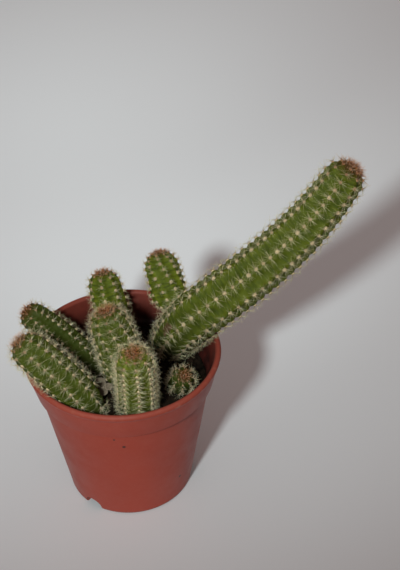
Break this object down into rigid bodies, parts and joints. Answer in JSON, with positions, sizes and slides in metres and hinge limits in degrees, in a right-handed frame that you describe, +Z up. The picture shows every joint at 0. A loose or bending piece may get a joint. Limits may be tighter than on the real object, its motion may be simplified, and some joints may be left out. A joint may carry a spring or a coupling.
{
  "type": "potted peanut cactus",
  "caption": "Small peanut cactus with ribbed finger stems and one long leaning stem, growing in soil in a tapered plastic nursery pot.",
  "frame": {"origin": "centre of the pot's flat underside, on the surface that the pot stands on", "axes": "+Z up along the pot's axis; +X towards the side that the long stem leans out over; +Y away from the pot's front, where the drainage notch is at the front left"},
  "size_m": [0.0937, 0.0555, 0.0983],
  "materials": {
    "pot_plastic": "satin moulded plastic, terracotta red",
    "potting_soil": "loose dark peat soil, matte",
    "cactus_flesh": "waxy green skin with cream wool and fine spines",
    "grit": "matte grey-brown stone"
  },
  "bodies": {
    "root": {"pot": "pot_plastic", "soil": "potting_soil", "long_stem": "cactus_flesh", "offset_stem": "cactus_flesh", "back_left_stem": "cactus_flesh", "middle_stem": "cactus_flesh", "front_stem": "cactus_flesh", "left_front_stem": "cactus_flesh", "left_back_stem": "cactus_flesh", "small_right_stem": "cactus_flesh", "grit_stone_1": "grit", "grit_stone_2": "grit", "grit_stone_3": "grit"}
  },
  "joints": []
}
